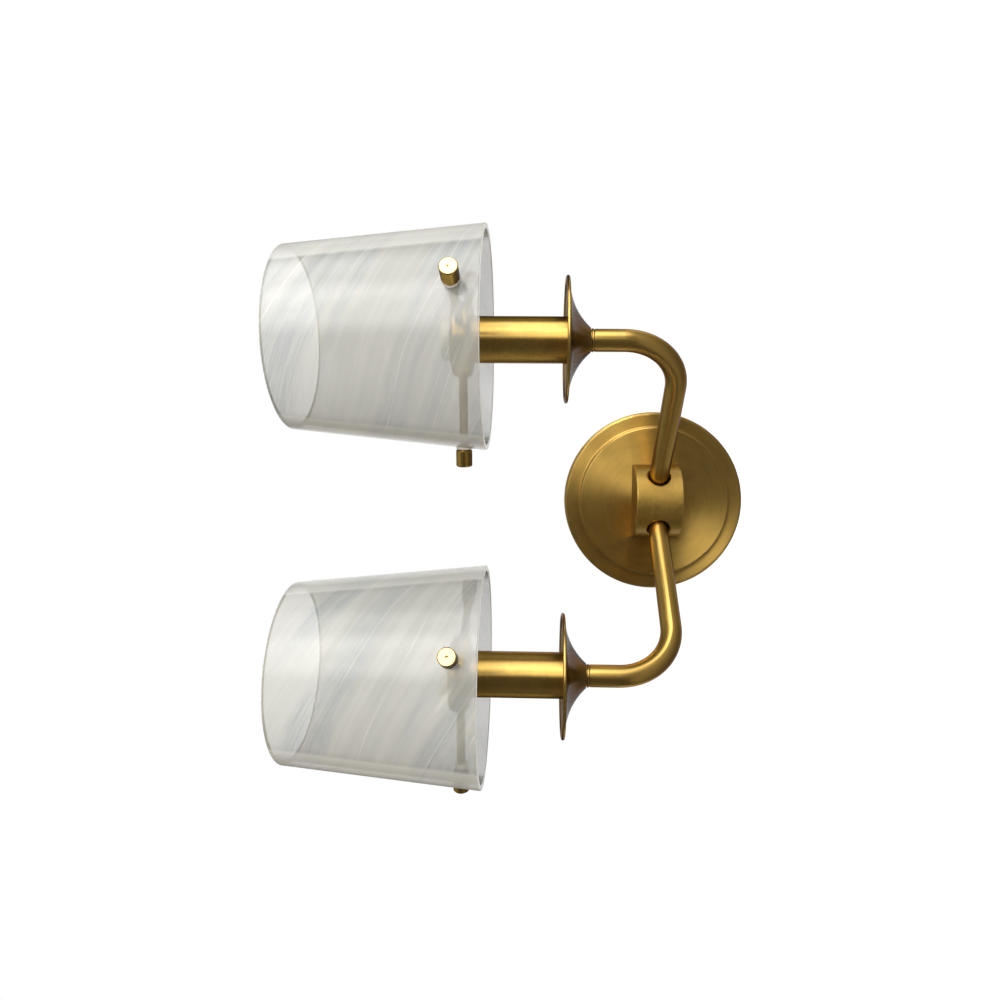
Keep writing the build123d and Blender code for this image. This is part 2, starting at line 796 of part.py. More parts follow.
def make_washers(side):
    """Soft washers: three fixed inside the glass, one under each knob outside."""
    with BuildPart() as inner:
        for index in range(knob_count):
            with BuildSketch(face_plane(side, index, rod_end)):
                Circle(inner_washer_radius)
                Circle(stud_radius + moving_gap, mode=Mode.SUBTRACT)
            extrude(amount=2 * inner_washer_thickness)
        with BuildSketch(lamp_plane(side)):
            with BuildLine():
                Polyline(*beyond_glass(2 * shade_wide_radius, -glass_wall - washer_glass_gap), close=True)
            make_face()
        revolve(axis=lamp_axis(side), mode=Mode.SUBTRACT)
    save(inner.part, f"inner_washers_{side}")

    for index in range(knob_count):
        with BuildPart() as outer:
            with BuildSketch(face_plane(side, index, glass_radius + outer_washer_thickness)):
                Circle(outer_washer_radius)
                Circle(stud_radius + moving_gap, mode=Mode.SUBTRACT)
            extrude(amount=-2 * outer_washer_thickness)
            with BuildSketch(lamp_plane(side)):
                with BuildLine():
                    Polyline(*beyond_glass(carrier_radius, moving_gap), close=True)
                make_face()
            revolve(axis=lamp_axis(side), mode=Mode.SUBTRACT)
        save(outer.part, f"knob_washer_{side}_{index + 1}")


def make_knobs(side):
    """Turned thumb knobs, each with its threaded stud."""
    for index in range(knob_count):
        with BuildPart() as knob:
            with BuildSketch(knob_plane(side, index)):
                with BuildLine():
                    Polyline(
                        (stud_tip, 0),
                        (stud_tip, stud_radius - knob_edge),
                        (stud_tip + knob_edge, stud_radius),
                        (knob_seat, stud_radius),
                        (knob_seat, knob_neck_radius),
                        (knob_back, knob_neck_radius),
                        (knob_back, knob_radius - knob_edge),
                        (knob_back + knob_edge, knob_radius),
                        (knob_face - knob_edge, knob_radius),
                        (knob_face, knob_radius - knob_edge),
                        (knob_face, knob_dimple_radius),
                        (knob_face - knob_dimple_depth, 0),
                        close=True,
                    )
                make_face()
            origin = (sides[side] * lamp_offset, -projection, knob_level)
            revolve(axis=Axis(origin, knob_direction(side, index)))
        save(knob.part, f"shade_knob_{side}_{index + 1}")


def make_lead(side):
    """Flexible lead from the terminal block, through the arm, to the lamp holder."""
    beside = sides[side] * lead_offset
    joins_arm = hub_axis_depth + lead_offset * arm_run / lamp_offset
    start = (beside, -lead_depth, -block_strip_drop)
    with BuildPart() as lead:
        with BuildLine():
            FilletPolyline(
                start,
                (beside, -lead_depth, 0),
                (beside, -joins_arm, 0),
                (sides[side] * lamp_offset, -projection, 0),
                (sides[side] * lamp_offset, -projection, holder_floor_bottom),
                radius=[lead_exit_radius, lead_turn_radius, arm_bend_radius],
            )
        with BuildSketch(Plane(origin=start, z_dir=(0, 0, 1))):
            Circle(lead_radius)
        sweep()
    save(lead.part, f"lamp_lead_{side}")
    bend_radii = (lead_exit_radius, lead_turn_radius, arm_bend_radius)
    print(f"lead {side}: bend radii", bend_radii, "volume", round(lead.part.volume, 1))


for side in sides:
    make_arm(side)
    make_lamp_stem(side)
    make_lamp_holder(side)
    make_carrier(side)
    make_shade(side)
    make_washers(side)
    make_knobs(side)
    make_lead(side)

print("arm angle from straight ahead", round(degrees(arm_angle), 2))
print("shade from", round(shade_bottom, 2), "to", round(shade_top, 2))
print("knob level", round(knob_level, 2), "glass radius there", round(glass_radius, 2))
print("holder", round(holder_bottom, 2), "to", round(holder_top, 2), "socket from", round(shell_thread_bottom, 2))
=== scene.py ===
# %% [markdown]
# # A double arm wall light in brass and streaked glass
#
# The light hangs on a wall: a round plate, a half-round hub, two bent tubes, a cup and a candle sleeve on
# each, and two open glass cones held by thumb knobs. Its solid pieces come finished in shape and size
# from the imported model, so this script adds none: it gives each its finish, and sets up the camera, the
# floor and the lamps. Everything is in metres: X runs along the two lamps, Y into the wall, Z up.

# %% Load the frame
import json
from math import radians

import bpy
from mathutils import Matrix, Vector


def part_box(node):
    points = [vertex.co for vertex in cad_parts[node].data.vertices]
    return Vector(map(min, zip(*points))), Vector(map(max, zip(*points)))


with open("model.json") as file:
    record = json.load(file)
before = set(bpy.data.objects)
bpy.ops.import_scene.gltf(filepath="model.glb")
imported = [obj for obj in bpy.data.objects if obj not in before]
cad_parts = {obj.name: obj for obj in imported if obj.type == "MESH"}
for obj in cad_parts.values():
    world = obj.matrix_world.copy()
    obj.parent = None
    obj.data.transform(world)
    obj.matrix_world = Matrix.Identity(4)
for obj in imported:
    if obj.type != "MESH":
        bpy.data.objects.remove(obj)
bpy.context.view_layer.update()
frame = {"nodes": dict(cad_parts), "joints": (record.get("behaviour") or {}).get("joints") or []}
nodes = frame["nodes"]

# %% [markdown]
# ## The camera
#
# The picture was taken from half a metre in front of the wall, with the light's top towards the picture's
# left. So the camera looks straight at the wall and is rolled a quarter turn. A wide lens that close
# makes the near shades large beside the plate.

# %% Camera
camera_place = Vector((0.02962, -0.51333, 0.08174))
camera_aim = Vector((0.00682, 0.0, 0.09440))
camera_roll = radians(-89.39)
sensor_width = 36.0
focal_pixels = 722.5
picture_side = 1000.0
picture_centre = Vector((518.0, 488.7))

camera_data = bpy.data.cameras.new("camera")
camera_data.sensor_width = sensor_width
camera_data.lens = sensor_width * focal_pixels / picture_side
camera_data.shift_x = 0.5 - picture_centre.x / picture_side
camera_data.shift_y = picture_centre.y / picture_side - 0.5
camera = bpy.data.objects.new("camera", camera_data)
bpy.context.collection.objects.link(camera)
looking = (camera_aim - camera_place).to_track_quat("-Z", "Y").to_matrix().to_4x4()
camera.matrix_world = Matrix.Translation(camera_place) @ looking @ Matrix.Rotation(camera_roll, 4, "Z")
bpy.context.scene.camera = camera
print("lens", round(camera_data.lens, 2), "mm")

# %% [markdown]
# ## Small helpers for node trees
#
# A material is a tree of nodes. These helpers add a node, join sockets, and do sums, so that each finish
# below reads as a short recipe. A value may be a number or another node's output.


# %% Node helpers
def add_node(tree, kind, **settings):
    """Add a node of a kind and set its options."""
    made = tree.nodes.new("ShaderNode" + kind)
    for key, value in settings.items():
        setattr(made, key, value)
    return made


def feed(tree, socket, value):
    """Give a socket a number, a colour or another node's output."""
    if isinstance(value, bpy.types.NodeSocket):
        tree.links.new(value, socket)
    else:
        socket.default_value = value


def calc(tree, operation, first, second=0.0):
    """One sum on numbers."""
    made = add_node(tree, "Math", operation=operation)
    feed(tree, made.inputs[0], first)
    feed(tree, made.inputs[1], second)
    return made.outputs[0]


def distance(tree, x, y):
    """How far a place is from an axis, from its two offsets square to that axis."""
    squares = calc(tree, "ADD", calc(tree, "MULTIPLY", x, x), calc(tree, "MULTIPLY", y, y))
    return calc(tree, "SQRT", squares)


def split(tree, vector):
    """The X, Y and Z of a vector."""
    made = add_node(tree, "SeparateXYZ")
    feed(tree, made.inputs[0], vector)
    return made.outputs[:]


def join(tree, x, y, z):
    """A vector from three numbers."""
    made = add_node(tree, "CombineXYZ")
    for socket, value in zip(made.inputs, (x, y, z)):
        feed(tree, socket, value)
    return made.outputs[0]


print("helpers for nodes and sums ready")

# %% [markdown]
# A mask is a number between 0 and 1 that says how much of something a place gets. Most start as noise,
# and a step then says from where to where in the noise the mask rises.


# %% Mask helpers
def ramp(tree, value, start, end, low=0.0, high=1.0, shape="LINEAR"):
    """A straight step from low to high as a value goes from start to end."""
    made = add_node(tree, "MapRange", interpolation_type=shape)
    for socket, number in zip(made.inputs, (value, start, end, low, high)):
        feed(tree, socket, number)
    return made.outputs[0]


def fade(tree, value, start, end, low=0.0, high=1.0):
    """A smooth step from low to high as a value goes from start to end."""
    return ramp(tree, value, start, end, low, high, "SMOOTHSTEP")


def vary(tree, marks, low, high, spread=0.2):
    """A value that goes from low to high with a noise, over the noise's middle part."""
    return fade(tree, marks, 0.5 - spread, 0.5 + spread, low, high)


def noise(tree, vector, scale=1.0, detail=2.0, roughness=0.5):
    """Cloudy noise between 0 and 1."""
    made = add_node(tree, "TexNoise")
    feed(tree, made.inputs["Vector"], vector)
    feed(tree, made.inputs["Scale"], scale)
    feed(tree, made.inputs["Detail"], detail)
    feed(tree, made.inputs["Roughness"], roughness)
    return made.outputs["Fac"]


def blend(tree, amount, first, second):
    """Mix two colours."""
    made = add_node(tree, "Mix", data_type="RGBA")
    feed(tree, made.inputs["Factor"], amount)
    feed(tree, made.inputs["A"], first)
    feed(tree, made.inputs["B"], second)
    return made.outputs["Result"]


def tint(tree, colour, amount):
    """A colour made darker or lighter by a number."""
    made = add_node(tree, "VectorMath", operation="SCALE")
    feed(tree, made.inputs[0], colour)
    feed(tree, made.inputs["Scale"], amount)
    return made.outputs["Vector"]


def rgba(red, green, blue):
    """An opaque colour."""
    return (red, green, blue, 1.0)


print("helpers for masks and colours ready")

# %% [markdown]
# ## The studio
#
# The picture has a plain white ground. White is painted into the floor and the world for the rays that
# look at them, straight, in metal or through glass, and the light on the object stays plain. The world
# behind the object, where the camera looks, is white. The room on the camera's side is dimmer, because
# brushed brass needs something dark to mirror beside the lamps.

# %% World
white = rgba(1.0, 1.0, 1.0)
room_tint = rgba(1.0, 0.97, 0.93)
backdrop_start = 0.80          # the white begins where a ray points this squarely at the wall, as a cosine
backdrop_full = 0.95
room_light = 0.08
side_light = 0.09              # more from the left-hand lamp's side, and the cosines between which it fades
side_light_full = -1.0
side_light_end = -0.6
ceiling_light = 0.25           # more from above
ceiling_start = 0.45
ceiling_full = 0.95

world = bpy.data.worlds.new("studio")
world.use_nodes = True
world.node_tree.nodes.clear()
sky = world.node_tree
ray = add_node(sky, "LightPath")
direction = add_node(sky, "TexCoord").outputs["Generated"]
towards_right, towards_wall, upwards = split(sky, direction)
backdrop = fade(sky, towards_wall, backdrop_start, backdrop_full)
from_side = fade(sky, towards_right, side_light_full, side_light_end, side_light, 0.0)
from_above = fade(sky, upwards, ceiling_start, ceiling_full, 0.0, ceiling_light)
room = calc(sky, "ADD", calc(sky, "ADD", from_side, room_light), from_above)
mirrored = calc(sky, "MAXIMUM", ray.outputs["Is Glossy Ray"], ray.outputs["Is Transmission Ray"])
seen = calc(sky, "MAXIMUM", ray.outputs["Is Camera Ray"], calc(sky, "MULTIPLY", mirrored, backdrop))
ground = add_node(sky, "Background")
feed(sky, ground.inputs["Color"], blend(sky, seen, room_tint, white))
feed(sky, ground.inputs["Strength"], calc(sky, "MAXIMUM", seen, room))
sky.links.new(ground.outputs[0], add_node(sky, "OutputWorld").inputs[0])
bpy.context.scene.world = world
bpy.context.scene.view_settings.view_transform = "Standard"
print("room light", room_light)

# %% [markdown]
# The floor is a wide pale disc well below the light. To the camera it glows almost white by itself, and
# the light that falls on it makes up the rest, so that a shadow still shows as a faint grey. Metal and
# glass mirror that white only from the part behind the wall, which the camera looks at. For what they
# mirror in front, the paint is darker, as if a dark cloth lay under the light there: without it every
# underside of the brass would shine.

# %% Floor
floor_drop = 0.42
floor_radius = 4.0
floor_sides = 96
floor_glow = 0.86
floor_colour = rgba(0.82, 0.82, 0.81)
cloth_colour = rgba(0.22, 0.21, 0.20)
white_floor_start = 0.0        # metres behind the wall where the mirrored floor turns white
white_floor_full = 0.30

floor_middle = (0.0, 0.0, -floor_drop)
bpy.ops.mesh.primitive_circle_add(
    vertices=floor_sides, radius=floor_radius, fill_type="NGON", location=floor_middle
)
floor = bpy.context.object
floor.name = "floor"
floor_look = bpy.data.materials.new("pale_floor")
floor_look.use_nodes = True
floor.data.materials.append(floor_look)
print("floor", floor_drop, "m below the plate's centre")

# %% Floor's paint
tree = floor_look.node_tree
tree.nodes.clear()
ray = add_node(tree, "LightPath")
paint = add_node(tree, "BsdfDiffuse")
feed(tree, paint.inputs["Color"], blend(tree, ray.outputs["Is Camera Ray"], cloth_colour, floor_colour))
camera_glow = add_node(tree, "Emission")
camera_glow.inputs["Strength"].default_value = floor_glow
glowing_paint = add_node(tree, "AddShader")
tree.links.new(paint.outputs[0], glowing_paint.inputs[0])
tree.links.new(camera_glow.outputs[0], glowing_paint.inputs[1])

into_wall = split(tree, add_node(tree, "NewGeometry").outputs["Position"])[1]
behind = fade(tree, into_wall, white_floor_start, white_floor_full)
mirrored = calc(tree, "MAXIMUM", ray.outputs["Is Glossy Ray"], ray.outputs["Is Transmission Ray"])
mirror_look = add_node(tree, "MixShader")
feed(tree, mirror_look.inputs["Fac"], calc(tree, "MULTIPLY", mirrored, behind))
tree.links.new(paint.outputs[0], mirror_look.inputs[1])
tree.links.new(add_node(tree, "Emission").outputs[0], mirror_look.inputs[2])

floor_shader = add_node(tree, "MixShader")
feed(tree, floor_shader.inputs["Fac"], ray.outputs["Is Camera Ray"])
tree.links.new(mirror_look.outputs[0], floor_shader.inputs[1])
tree.links.new(glowing_paint.outputs[0], floor_shader.inputs[2])
tree.links.new(floor_shader.outputs[0], add_node(tree, "OutputMaterial").inputs[0])
print("floor glows at", floor_glow, "to the camera")

# %% [markdown]
# Three soft boxes light it. The key stands high and far out on the right-hand lamp's side, and draws the
# long bright stripe on every tube. The second stands further round to the front, and gives the brushed
# plate its two bright wedges. The fill stands low on the left, warmer and only for the glass: brass
# mirrors the other two. A real soft box is brightest in its middle, so each lamp fades towards its edges,
# and its mirror image in the glass has no hard border.

# %% Lamps
lamp_edge = 0.35               # share of the width over which a lamp fades at each side
light_middle = Vector((0.0, -0.08, 0.08))
neutral_light = (1.0, 0.985, 0.955)
warm_light = (1.0, 0.945, 0.85)
key_place = Vector((1.06, -0.62, 0.40))
front_place = Vector((0.60, -1.11, 0.55))
fill_place = Vector((-0.75, -0.95, 0.10))


def window(tree, place):
    """One across the middle of a lamp, and nothing at its two edges."""
    rising = fade(tree, place, 0.0, lamp_edge)
    falling = fade(tree, place, 1.0 - lamp_edge, 1.0, 1.0, 0.0)
    return calc(tree, "MULTIPLY", rising, falling)


def soft_box(name, place, wide, high, power, colour, in_gloss=True):
    """A lamp that points at the light's middle. Its size is the part over half as bright as its middle."""
    lamp = bpy.data.lights.new(name, "AREA")
    lamp.shape = "RECTANGLE"
    lamp.size = wide / (1.0 - lamp_edge)
    lamp.size_y = high / (1.0 - lamp_edge)
    lamp.energy = power / (1.0 - lamp_edge) ** 2
    lamp.color = colour
    lamp.use_nodes = True
    tree = lamp.node_tree
    tree.nodes.clear()
    across, along, _ = split(tree, add_node(tree, "NewGeometry").outputs["Parametric"])
    glow = add_node(tree, "Emission")
    feed(tree, glow.inputs["Strength"], calc(tree, "MULTIPLY", window(tree, across), window(tree, along)))
    tree.links.new(glow.outputs[0], add_node(tree, "OutputLight").inputs[0])
    holder = bpy.data.objects.new(name, lamp)
    holder.visible_glossy = in_gloss
    bpy.context.collection.objects.link(holder)
    turn = (light_middle - place).to_track_quat("-Z", "Y").to_matrix().to_4x4()
    holder.matrix_world = Matrix.Translation(place) @ turn
    print(name, "lamp", wide, "by", high, "m,", power, "W")


soft_box("key", key_place, wide=1.00, high=1.10, power=13.5, colour=neutral_light)
soft_box("front", front_place, wide=0.90, high=0.75, power=13.5, colour=neutral_light)
soft_box("fill", fill_place, wide=1.00, high=1.00, power=9.5, colour=warm_light, in_gloss=False)

# %% [markdown]
# ## Marks that several finishes share
#
# A node group is built once and placed in each material with its own values. These helpers make one with
# named sockets, and place it.


# %% Group helpers
def new_group(name, inputs, outputs):
    """A shader node group with named sockets. Gives the tree, its inputs and its output node's sockets."""
    group = bpy.data.node_groups.new(name, "ShaderNodeTree")
    for label, kind, value in inputs:
        socket = group.interface.new_socket(label, in_out="INPUT", socket_type="NodeSocket" + kind)
        socket.default_value = value
    for label, kind in outputs:
        group.interface.new_socket(label, in_out="OUTPUT", socket_type="NodeSocket" + kind)
    given = group.nodes.new("NodeGroupInput").outputs
    result = group.nodes.new("NodeGroupOutput").inputs
    return group, given, result


def place_group(tree, group, **values):
    """Put a group in a material, with a value for each named input. An underscore stands for a space."""
    made = add_node(tree, "Group", node_tree=group)
    for label, value in values.items():
        feed(tree, made.inputs[label.replace("_", " ")], value)
    return made.outputs


print("group helpers ready")

# %% [markdown]
# Turned brass carries fine rings, because the cutting and polishing marks run round its axis. The first
# group makes such rings: it reads a place whose Z is the turning axis, and varies with the distance from
# the axis and along it, and only slowly around it. The second makes cloudy tarnish, and a finer mottle.

# %% Shared groups
least_radius = 0.0005          # keeps the rings' sums away from zero on the axis
band_share = 0.12              # how many wide bands go to one fine line
cloud_start = 0.32
cloud_full = 0.68
mottle_share = 9.0             # how many spots of mottle go to one cloud


def make_turned_marks():
    """Fine rings about the Z axis."""
    group, given, result = new_group(
        "turned_marks",
        [("Place", "Vector", (0, 0, 0)), ("Lines per metre", "Float", 4000.0), ("Breaks", "Float", 3.0)],
        [("Lines", "Float"), ("Bands", "Float")],
    )
    x, y, z = split(group, given["Place"])
    radius = distance(group, x, y)
    safe = calc(group, "MAXIMUM", radius, least_radius)
    round_x = calc(group, "MULTIPLY", calc(group, "DIVIDE", x, safe), given["Breaks"])
    round_y = calc(group, "MULTIPLY", calc(group, "DIVIDE", y, safe), given["Breaks"])
    across = calc(group, "MULTIPLY", calc(group, "ADD", radius, z), given["Lines per metre"])
    wide_across = calc(group, "MULTIPLY", across, band_share)
    fine = noise(group, join(group, across, round_x, round_y), detail=3.0, roughness=0.6)
    wide = noise(group, join(group, wide_across, round_x, round_y))
    feed(group, result["Lines"], fine)
    feed(group, result["Bands"], wide)
    return group


def make_tarnish():
    """Soft cloudy patches, and a finer mottle."""
    group, given, result = new_group(
        "tarnish",
        [("Place", "Vector", (0, 0, 0)), ("Patch", "Float", 0.03)],
        [("Clouds", "Float"), ("Mottle", "Float")],
    )
    scale = calc(group, "DIVIDE", 1.0, given["Patch"])
    clouds = noise(group, given["Place"], scale, detail=3.0)
    mottle_scale = calc(group, "MULTIPLY", scale, mottle_share)
    feed(group, result["Clouds"], fade(group, clouds, cloud_start, cloud_full))
    feed(group, result["Mottle"], noise(group, given["Place"], mottle_scale, detail=4.0, roughness=0.6))
    return group


turned_marks = make_turned_marks()
tarnish = make_tarnish()
print("groups", [group.name for group in bpy.data.node_groups])

# %% [markdown]
# ## Antique brass
#
# The real finish is brass that was darkened, brushed through and lacquered. Its colour is a deep gold, a
# little browner in patches. Where a surface faces down, a mask from the surface's own direction darkens
# it: that is painted shade.

# %% Antique brass
brass_bright = rgba(0.65, 0.42, 0.105)
brass_brown = rgba(0.49, 0.310, 0.070)
# painted shade for the surfaces that face down
brass_painted_shade = rgba(0.17, 0.100, 0.024)
brass_edge = rgba(0.10, 0.06, 0.020)
brass_polished = rgba(0.72, 0.50, 0.19)
lacquer = 0.35
lacquer_roughness = 0.20
facing_down_start = -0.15
facing_down_full = -0.75
usual_painted_shade = 0.6               # how much painted shade falls where a surface faces down
mark_depth = 0.0000008
mark_strength = 0.6


def new_material(name):
    """An empty material with a Principled shader joined to its output."""
    made = bpy.data.materials.new(name)
    made.use_nodes = True
    made.node_tree.nodes.clear()
    shader = add_node(made.node_tree, "BsdfPrincipled")
    made.node_tree.links.new(shader.outputs[0], add_node(made.node_tree, "OutputMaterial").inputs[0])
    return made, made.node_tree, shader


def make_brass(shader):
    """The numbers that all the brass shares: metal with a brown edge, under clear lacquer."""
    shader.inputs["Metallic"].default_value = 1.0
    shader.inputs["Specular Tint"].default_value = brass_edge
    shader.inputs["Coat Weight"].default_value = lacquer
    shader.inputs["Coat Roughness"].default_value = lacquer_roughness


def paint_shade_below(tree, shade, amount):
    """Paint shade where a surface faces down."""
    facing = split(tree, add_node(tree, "TexCoord").outputs["Normal"])[2]
    shade_below = fade(tree, facing, facing_down_full, facing_down_start, amount, 0.0)
    return blend(tree, shade_below, shade, brass_painted_shade)


def raise_marks(tree, shader, marks, depth):
    """A fine bump that follows the marks."""
    bump = add_node(tree, "Bump")
    bump.inputs["Distance"].default_value = depth
    bump.inputs["Strength"].default_value = mark_strength
    tree.links.new(marks, bump.inputs["Height"])
    tree.links.new(bump.outputs[0], shader.inputs["Normal"])


def wear(node, material):
    """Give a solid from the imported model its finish."""
    for slot in nodes[node].material_slots:
        slot.material = material


print("brass", brass_bright[:3], "to", brass_painted_shade[:3])

# %% [markdown]
# Turned brass gets the rings: a fine bump, and a colour and roughness that follow them. On a plate the
# brushing also stretches each highlight across the rings, which makes the two bright wedges of a brushed
# disc, so the shader's anisotropy is set there. Its tangent runs round the axis, and a quarter turn sets
# the shine across it.

# %% Turned brass
across_the_rings = 0.25        # a quarter turn from the tangent
turned_brown = 0.35            # how brown the patches get
ring_shades = (0.94, 1.04)     # darkest and lightest ring, as shares of the colour around it
band_shades = (0.95, 1.04)     # the same for the wider bands
ring_roughness = 0.02          # how much the rings change the roughness, up and down
shade_spread = 0.25            # how far from the noise's middle the shades and the roughness still change
rough_spread = 0.30
polish_edge = 0.0002           # over how much depth the polished end begins


def turning_place(tree, centre, axis):
    """The object's own coordinates, moved and turned so that Z is the turning axis."""
    made = add_node(tree, "Mapping", vector_type="TEXTURE")
    feed(tree, made.inputs["Vector"], add_node(tree, "TexCoord").outputs["Object"])
    made.inputs["Location"].default_value = centre
    made.inputs["Rotation"].default_value = Vector(axis).to_track_quat("Z", "Y").to_euler()
    return made.outputs[0]


def stretch_shine(tree, shader, stretch, tangent):
    """Stretch each highlight across the rings about the tangent's axis."""
    shader.inputs["Anisotropic"].default_value = stretch
    shader.inputs["Anisotropic Rotation"].default_value = across_the_rings
    around = add_node(tree, "Tangent", direction_type="RADIAL", axis=tangent)
    tree.links.new(around.outputs[0], shader.inputs["Tangent"])


def turned_brass(name, centre, axis, lines, roughness, stretch=0.0, tangent=None, depth=mark_depth,
                 shade_below=usual_painted_shade, breaks=3.0, bright_from=None):
    """Brass turned about an axis, with so many rings a metre, and perhaps polished past a place on it."""
    made, tree, shader = new_material(name)
    place = turning_place(tree, centre, axis)
    rings = place_group(tree, turned_marks, Place=place, Lines_per_metre=lines, Breaks=breaks)
    patches = place_group(tree, tarnish, Place=place)
    brown = calc(tree, "MULTIPLY", patches["Clouds"], turned_brown)
    # painted shade where the surface faces down
    shade = paint_shade_below(tree, blend(tree, brown, brass_bright, brass_brown), shade_below)
    if bright_from is not None:
        polished = fade(tree, split(tree, place)[2], bright_from, bright_from + polish_edge)
        shade = blend(tree, polished, shade, brass_polished)
    ring_shade = vary(tree, rings["Lines"], *ring_shades, spread=shade_spread)
    streak = calc(tree, "MULTIPLY", ring_shade, vary(tree, rings["Bands"], *band_shades))
    feed(tree, shader.inputs["Base Color"], tint(tree, shade, streak))
    make_brass(shader)
    rough = vary(tree, rings["Lines"], -ring_roughness, ring_roughness, spread=rough_spread)
    feed(tree, shader.inputs["Roughness"], calc(tree, "ADD", rough, roughness))
    if tangent:
        stretch_shine(tree, shader, stretch, tangent)
    raise_marks(tree, shader, rings["Lines"], depth)
    return made


plate_mark_depth = 0.000002
into_the_wall = (0, 1, 0)
plate_brass = turned_brass(
    "plate_brass", (0, 0, 0), into_the_wall, lines=2600.0, roughness=0.38, stretch=0.9, tangent="Y",
    depth=plate_mark_depth,
)
wear("backplate", plate_brass)
print("plate finished")

# %% [markdown]
# The cups, collars, sleeves and carriers are turned about each lamp's upright axis, so each lamp has its
# own copy of the finish, centred on its axis.

# %% Lamps' turned brass
sides = ("right", "left")
upright = (0, 0, 1)
lamp_centre = {}
for side in sides:
    low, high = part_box(f"candle_sleeve_{side}")
    centre = ((low[0] + high[0]) / 2, (low[1] + high[1]) / 2, 0.0)
    lamp_centre[side] = centre
    sleeve_brass = turned_brass(
        f"sleeve_brass_{side}", centre, upright, lines=2600.0, roughness=0.34, stretch=0.9, tangent="Z",
    )
    cup_brass = turned_brass(
        f"cup_brass_{side}", centre, upright, lines=2200.0, roughness=0.34, stretch=0.8, tangent="Z",
        shade_below=0.85,
    )
    wear(f"candle_sleeve_{side}", sleeve_brass)
    wear(f"cup_{side}", cup_brass)
    wear(f"arm_collar_{side}", cup_brass)
    wear(f"shade_carrier_{side}", cup_brass)
print("lamp axes", {side: [round(v, 4) for v in lamp_centre[side]] for side in sides})

# %% [markdown]
# The arms are drawn tube. Their marks run along the tube and follow its bend. Seen in the upright plane
# through an arm, a place has a distance from the tube's middle line: below the bend it is measured up
# from the level run, in the bend from the bend's centre, and above it from the lamp's axis. The group
# below works that out. The noise varies with that distance and with the distance from the plane, and only
# slowly along the tube.

# %% Arms' marks
arm_bend = 0.033               # radius of the tube's middle line
drawn_lines = 2500.0           # lines a metre across the tube
drawn_changes = 12.0           # changes a metre along it
drawn_band_share = 0.15        # how many wide bands go to one fine line


def make_drawn_marks():
    """Fine lines along a tube that runs level along X, bends up, and ends upright."""
    group, given, result = new_group(
        "drawn_marks",
        [
            ("Place", "Vector", (0, 0, 0)),
            ("Bend radius", "Float", arm_bend),
            ("Lines per metre", "Float", drawn_lines),
        ],
        [("Lines", "Float"), ("Bands", "Float")],
    )
    along, aside, up = split(group, given["Place"])
    past = calc(group, "MAXIMUM", calc(group, "ADD", along, given["Bend radius"]), 0.0)
    under = calc(group, "MAXIMUM", calc(group, "SUBTRACT", given["Bend radius"], up), 0.0)
    inward = calc(group, "SUBTRACT", given["Bend radius"], distance(group, past, under))
    fine_inward = calc(group, "MULTIPLY", inward, given["Lines per metre"])
    fine_aside = calc(group, "MULTIPLY", aside, given["Lines per metre"])
    slow = calc(group, "MULTIPLY", calc(group, "ADD", along, up), drawn_changes)
    vector = join(group, fine_inward, fine_aside, slow)
    feed(group, result["Lines"], noise(group, vector, roughness=0.6))
    feed(group, result["Bands"], noise(group, vector, drawn_band_share))
    return group


drawn_marks = make_drawn_marks()
print("group", drawn_marks.name)

# %% [markdown]
# Each arm swings out from the hub to its lamp, so its group's X axis points that way. The two arms'
# middle lines would meet a little in front of the wall, inside the hub.

# %% Arms
hub_axis_depth = 0.015         # where the arms' middle lines meet, in front of the wall
arm_brown = 0.18
arm_patch = 0.045
arm_shades = (0.97, 1.03)      # darkest and lightest line
arm_roughness = (0.27, 0.31)


def arm_brass(side):
    """Satin drawn brass that follows one arm."""
    made, tree, shader = new_material(f"arm_brass_{side}")
    lamp_x, lamp_y, _ = lamp_centre[side]
    outward = Vector((lamp_x, lamp_y + hub_axis_depth, 0.0)).normalized()
    place = add_node(tree, "Mapping", vector_type="TEXTURE")
    feed(tree, place.inputs["Vector"], add_node(tree, "TexCoord").outputs["Object"])
    place.inputs["Location"].default_value = lamp_centre[side]
    place.inputs["Rotation"].default_value = outward.to_track_quat("X", "Z").to_euler()
    lines = place_group(tree, drawn_marks, Place=place.outputs[0])
    patches = place_group(tree, tarnish, Place=place.outputs[0], Patch=arm_patch)
    brown = calc(tree, "MULTIPLY", patches["Clouds"], arm_brown)
    # painted shade where the surface faces down
    shade = paint_shade_below(tree, blend(tree, brown, brass_bright, brass_brown), usual_painted_shade)
    line_shade = vary(tree, lines["Lines"], *arm_shades, spread=shade_spread)
    feed(tree, shader.inputs["Base Color"], tint(tree, shade, line_shade))
    make_brass(shader)
    feed(tree, shader.inputs["Roughness"], vary(tree, lines["Lines"], *arm_roughness, spread=rough_spread))
    raise_marks(tree, shader, lines["Lines"], mark_depth)
    return made


for side in sides:
    wear(f"arm_tube_{side}", arm_brass(side))

# %% [markdown]
# The hub is cast and only rubbed by hand, so its marks have no direction: a soft mottle in colour and
# roughness.

# %% Hub
hub_brown = (0.55, 0.95)       # how brown the brightest and the dullest patch are
hub_shades = (0.92, 1.06)      # darkest and lightest spot of the mottle
hub_roughness = (0.40, 0.49)


def rubbed_brass(name, patch):
    """Brass rubbed by hand, with no direction."""
    made, tree, shader = new_material(name)
    place = add_node(tree, "TexCoord").outputs["Object"]
    patches = place_group(tree, tarnish, Place=place, Patch=patch)
    brown = fade(tree, patches["Clouds"], 0.0, 1.0, *hub_brown)
    shade = blend(tree, brown, brass_bright, brass_brown)
    spots = vary(tree, patches["Mottle"], *hub_shades)
    feed(tree, shader.inputs["Base Color"], tint(tree, shade, spots))
    make_brass(shader)
    feed(tree, shader.inputs["Roughness"], vary(tree, patches["Mottle"], *hub_roughness))
    return made


wear("hub_boss", rubbed_brass("hub_brass", patch=0.016))
print("hub finished")

